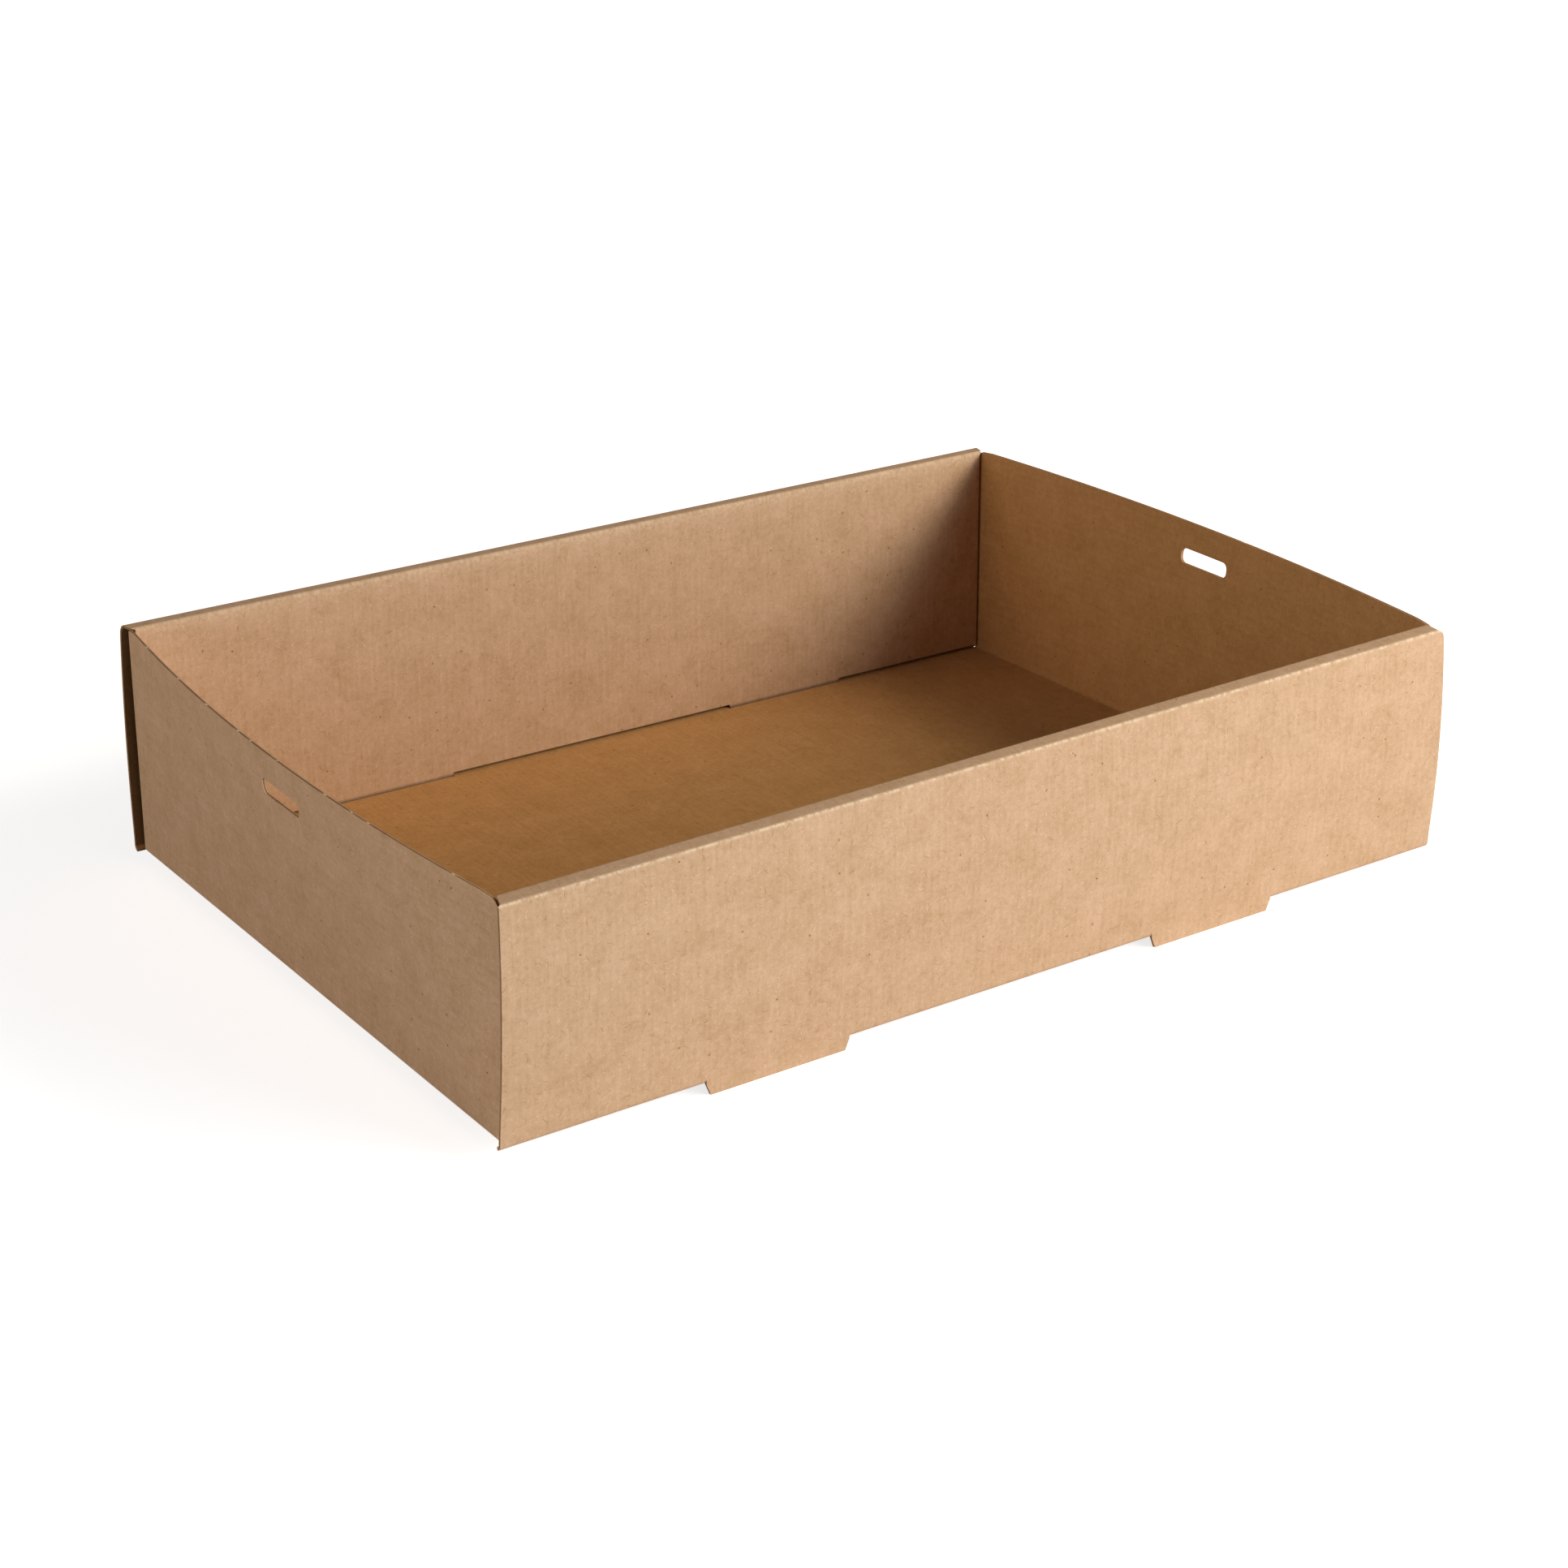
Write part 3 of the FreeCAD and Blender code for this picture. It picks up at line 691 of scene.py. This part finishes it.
def kraft_liner(name, deep, pale, worn_and_highlit):
    """Kraft test liner: matt unbleached paper made of recycled fibre, in blank millimetres.

    What the real surface gives the eye: pale clouds where the pulp is thick, a mottle from a few
    millimetres down to a quarter, faint lines where the liner sinks between the flutes, thin dark
    hairs, short pale curls and a rare dark speck. Pale places are greyer as well as lighter.
    Folding lifts the fibres, so the creases are paler, in fine broken lines which also carry a painted
    highlight. The paper inside the rolled walls gets painted shade, darkened to stand in for the light
    that the close plies keep out.
    """
    material, tree, out = new_material(name)
    blank = node(tree, "ShaderNodeUVMap", uv_map="blank")
    place = node(tree, "ShaderNodeVectorMath", {"Vector": blank}, {"Scale": 1 / MM}, operation="SCALE")
    along = node(tree, "ShaderNodeMapping", {"Vector": place}, {"Scale": (1.0, STREAK_SHARE, 1.0)})

    total, middle = None, 0.5 - sum(row[-1] for row in (CLOUDS, MOTTLE, STREAKS)) / 2
    for source, (cycles, detail, rough, amount) in ((place, CLOUDS), (place, MOTTLE), (along, STREAKS)):
        noise = node(
            tree, "ShaderNodeTexNoise", {"Vector": source},
            {"Scale": cycles, "Detail": detail, "Roughness": rough},
        )
        links = {0: noise} if total is None else {0: noise, 2: total}
        total = node(tree, "ShaderNodeMath", links, {1: amount, 2: middle}, operation="MULTIPLY_ADD")

    across = node(tree, "ShaderNodeSeparateXYZ", {"Vector": place})
    phase = node(tree, "ShaderNodeMath", {0: across}, {1: 2 * np.pi / FLUTE_PITCH}, operation="MULTIPLY")
    wander = node(tree, "ShaderNodeMath", {0: noise, 2: phase}, {1: FLUTE_WANDER}, operation="MULTIPLY_ADD")
    flutes = node(tree, "ShaderNodeMath", {0: wander}, operation="SINE")
    total = node(tree, "ShaderNodeMath", {0: flutes, 2: total}, {1: FLUTE_CONTRAST}, operation="MULTIPLY_ADD")

    for label, cell, share, half_length, half_width, amount in FIBRES:
        cells = node(tree, "ShaderNodeTexVoronoi", {"Vector": place}, {"Scale": 1 / cell}, label=label)
        chance = node(tree, "ShaderNodeSeparateXYZ", {"Vector": cells.outputs["Color"]})
        local = node(
            tree, "ShaderNodeVectorMath", {0: place, 1: cells.outputs["Position"]}, operation="SUBTRACT",
        )
        angle = node(tree, "ShaderNodeMath", {0: chance.outputs[1]}, {1: 2 * np.pi}, operation="MULTIPLY")
        local = node(
            tree, "ShaderNodeVectorRotate", {"Vector": local, "Angle": angle}, rotation_type="Z_AXIS",
        )
        local = node(tree, "ShaderNodeSeparateXYZ", {"Vector": local})
        bend = node(tree, "ShaderNodeMath", {0: local.outputs[0], 1: local.outputs[0]}, operation="MULTIPLY")
        curl = node(
            tree, "ShaderNodeMath", {0: chance.outputs[2]}, {1: 2 * STROKE_CURL, 2: -STROKE_CURL},
            operation="MULTIPLY_ADD",
        )
        off = node(
            tree, "ShaderNodeMath", {0: bend, 1: curl, 2: local.outputs[1]}, operation="MULTIPLY_ADD",
        )
        mask = node(tree, "ShaderNodeMath", {0: chance}, {1: share}, operation="LESS_THAN")
        for source, reach in ((off, half_width), (local.outputs[0], half_length)):
            size = node(tree, "ShaderNodeMath", {0: source}, operation="ABSOLUTE")
            edge = node(
                tree, "ShaderNodeMapRange", {"Value": size},
                {"From Min": STROKE_FADE[0] * reach, "From Max": STROKE_FADE[1] * reach,
                 "To Min": 1.0, "To Max": 0.0},
            )
            mask = node(tree, "ShaderNodeMath", {0: mask, 1: edge}, operation="MULTIPLY")
        total = node(tree, "ShaderNodeMath", {0: mask, 2: total}, {1: amount}, operation="MULTIPLY_ADD")

    colour = node(
        tree, "ShaderNodeMix", {0: total}, {MIX_A: linear(deep), MIX_B: linear(pale)},
        data_type="RGBA", clamp_factor=False,
    )
    # Paler broken lines along the creases: crushed liner, with a painted highlight on it.
    crease = node(tree, "ShaderNodeAttribute", attribute_name="crease")
    dashes = node(tree, "ShaderNodeTexNoise", {"Vector": place}, {"Scale": WEAR_AND_HIGHLIGHT_CELLS, "Detail": 3.0})
    dashes = node(
        tree, "ShaderNodeMapRange", {"Value": dashes},
        {"From Min": WEAR_AND_HIGHLIGHT_FROM, "From Max": WEAR_AND_HIGHLIGHT_TO, "To Min": WEAR_AND_HIGHLIGHT_LEAST},
    )
    wear_and_highlight = node(tree, "ShaderNodeMath", {0: crease.outputs["Fac"], 1: dashes}, operation="MULTIPLY")
    colour = node(
        tree, "ShaderNodeMix", {0: wear_and_highlight, MIX_A: colour.outputs[MIX_RESULT]}, {MIX_B: linear(worn_and_highlit)},
        data_type="RGBA",
    )
    # Painted shade: the colour is scaled down on faces inside the rolled walls, on the tabs and on the flaps.
    hollow = node(tree, "ShaderNodeAttribute", attribute_name="hollow")
    light = node(
        tree, "ShaderNodeMapRange", {"Value": hollow.outputs["Fac"]}, {"To Min": 1.0, "To Max": PAINTED_HOLLOW_SHADE},
    )
    colour = node(
        tree, "ShaderNodeVectorMath", {0: colour.outputs[MIX_RESULT], "Scale": light}, operation="SCALE",
    )

    relief = node(tree, "ShaderNodeMath", {0: flutes, 2: total}, {1: FLUTE_RELIEF}, operation="MULTIPLY_ADD")
    bump = node(tree, "ShaderNodeBump", {"Height": relief}, {"Strength": 1.0, "Distance": RELIEF_DEPTH * MM})
    surface = node(
        tree, "ShaderNodeBsdfPrincipled", {"Base Color": colour, "Normal": bump},
        {"Roughness": 0.82, "Specular IOR Level": 0.25},
    )
    tree.links.new(surface.outputs[0], out.inputs[0])
    return material


def fluting_core(name):
    """Cut edge of the corrugated core: brown fluting between the two liners, pale where a nick tore.

    On the core the attribute "crease" holds the nicks. It falls off over a cross line's step of
    3 mm on either side, and only its peak shows, as a tick of about 1.5 mm.
    """
    material, tree, out = new_material(name)
    nick = node(tree, "ShaderNodeAttribute", attribute_name="crease")
    torn = node(
        tree, "ShaderNodeMapRange", {"Value": nick.outputs["Fac"]},
        {"From Min": NICK_FROM, "From Max": NICK_FULL},
    )
    colour = node(
        tree, "ShaderNodeMix", {0: torn}, {MIX_A: linear("#9a6c42"), MIX_B: linear("#f4dcc0")},
        data_type="RGBA",
    )
    surface = node(
        tree, "ShaderNodeBsdfPrincipled", {"Base Color": colour.outputs[MIX_RESULT]},
        {"Roughness": 0.95, "Specular IOR Level": 0.1},
    )
    tree.links.new(surface.outputs[0], out.inputs[0])
    return material


# The camera as it was fitted to the photographed edges: metres, degrees, and pixels of the photograph.
CAMERA_PLACE = (-0.542277, -0.775631, 0.428364)
CAMERA_TURN = (67.062, -0.148, -34.938)
FOCAL_PIXELS = 3789.68
FRAME_PIXELS = 1932
SENSOR_WIDTH = 36.0


def make_camera():
    """Camera at the photograph's viewing angle."""
    data = bpy.data.cameras.new("camera")
    data.sensor_width = SENSOR_WIDTH
    data.sensor_fit = "HORIZONTAL"
    data.lens = SENSOR_WIDTH * FOCAL_PIXELS / FRAME_PIXELS
    data.clip_start = 0.01
    camera = bpy.data.objects.new("camera", data)
    camera.rotation_euler = Euler(np.radians(CAMERA_TURN), "XYZ")
    camera.location = CAMERA_PLACE
    bpy.context.scene.collection.objects.link(camera)
    bpy.context.scene.camera = camera


# How far the lamps stand from the tray, and the height that they point at, in metres.
LAMP_DISTANCE = 2.2
AIM_HEIGHT = 0.04


def area_light(name, turn, rise, size, watts, colour):
    """Square soft box that faces the tray, at angles right of the front and above the table."""
    turn, rise = np.radians((turn, rise))
    level, up = np.cos(rise), np.sin(rise)
    place = LAMP_DISTANCE * np.array([np.sin(turn) * level, -np.cos(turn) * level, up])
    data = bpy.data.lights.new(name, "AREA")
    data.shape = "SQUARE"
    data.size = size
    data.energy = watts
    data.color = linear(colour)[:3]
    light = bpy.data.objects.new(name, data)
    light.location = place
    light.rotation_euler = Vector(place - np.array([0, 0, AIM_HEIGHT])).to_track_quat("Z", "Y").to_euler()
    bpy.context.scene.collection.objects.link(light)


def make_world(strength):
    """Even grey studio light, seen as white by the camera and in reflections."""
    world = bpy.data.worlds.new("studio")
    world.use_nodes = True
    tree = world.node_tree
    tree.nodes.clear()
    path = node(tree, "ShaderNodeLightPath")
    seen = path.outputs["Is Camera Ray"]
    for kind in ("Is Glossy Ray", "Is Transmission Ray"):
        seen = node(tree, "ShaderNodeMath", {0: seen, 1: path.outputs[kind]}, operation="MAXIMUM").outputs[0]
    level = node(tree, "ShaderNodeMapRange", {"Value": seen}, {"To Min": strength})
    light = node(tree, "ShaderNodeBackground", {"Strength": level}, {"Color": (1, 1, 1, 1)})
    node(tree, "ShaderNodeOutputWorld", {0: light})
    bpy.context.scene.world = world


# The floor's own glow, which only the camera sees, rises between two distances from the tray.
FLOOR_REACH = 6.0
GLOW_NEAR, GLOW_FAR = 0.2, 0.7
GLOW_LEAST = 0.78


def make_floor():
    """White table top that keeps the tray's shadow."""
    mesh = bpy.data.meshes.new("floor")
    corners = [(x * FLOOR_REACH, y * FLOOR_REACH, 0) for x, y in ((-1, -1), (1, -1), (1, 1), (-1, 1))]
    mesh.from_pydata(corners, [], [(0, 1, 2, 3)])
    floor = bpy.data.objects.new("floor", mesh)
    bpy.context.scene.collection.objects.link(floor)
    material, tree, out = new_material("white_table")
    path = node(tree, "ShaderNodeLightPath")
    matt = node(tree, "ShaderNodeBsdfDiffuse", None, {"Color": linear("#f2f2f2")})
    where = node(tree, "ShaderNodeTexCoord")
    away = node(tree, "ShaderNodeVectorMath", {0: where.outputs["Object"]}, operation="LENGTH")
    level = node(
        tree, "ShaderNodeMapRange", {"Value": away.outputs["Value"]},
        {"From Min": GLOW_NEAR, "From Max": GLOW_FAR, "To Min": GLOW_LEAST, "To Max": 1.0},
    )
    strength = node(
        tree, "ShaderNodeMath", {0: path.outputs["Is Camera Ray"], 1: level}, operation="MULTIPLY",
    )
    glow = node(tree, "ShaderNodeEmission", {"Strength": strength}, {"Color": (1, 1, 1, 1)})
    both = node(tree, "ShaderNodeAddShader", {0: matt, 1: glow})
    tree.links.new(both.outputs[0], out.inputs[0])
    mesh.materials.append(material)


add_base()
for side in (-1, 1):
    add_long_wall(side)
for end in (-1, 1):
    add_end_wall(end)
tray = build_mesh("folded_tray", *make_board())
tray.data.materials.append(kraft_liner("kraft_outer_liner", "#b89269", "#dfbb9b", "#f0d6b4"))
tray.data.materials.append(fluting_core("corrugated_core"))
tray.data.materials.append(kraft_liner("kraft_inner_liner", "#b5864b", "#dba972", "#f0d6b4"))
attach(tray, "root")
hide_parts("tray_box")

make_floor()
make_world(strength=0.03)
area_light("key", 52, 30, 0.9, 33.2, "#fff0dc")
area_light("front_fill", 28, 12, 1.0, 30.6, "#e6f3ff")
area_light("left_fill", -95, 12, 1.0, 15.3, "#fff7f0")
make_camera()
bpy.context.scene.view_settings.view_transform = "Standard"
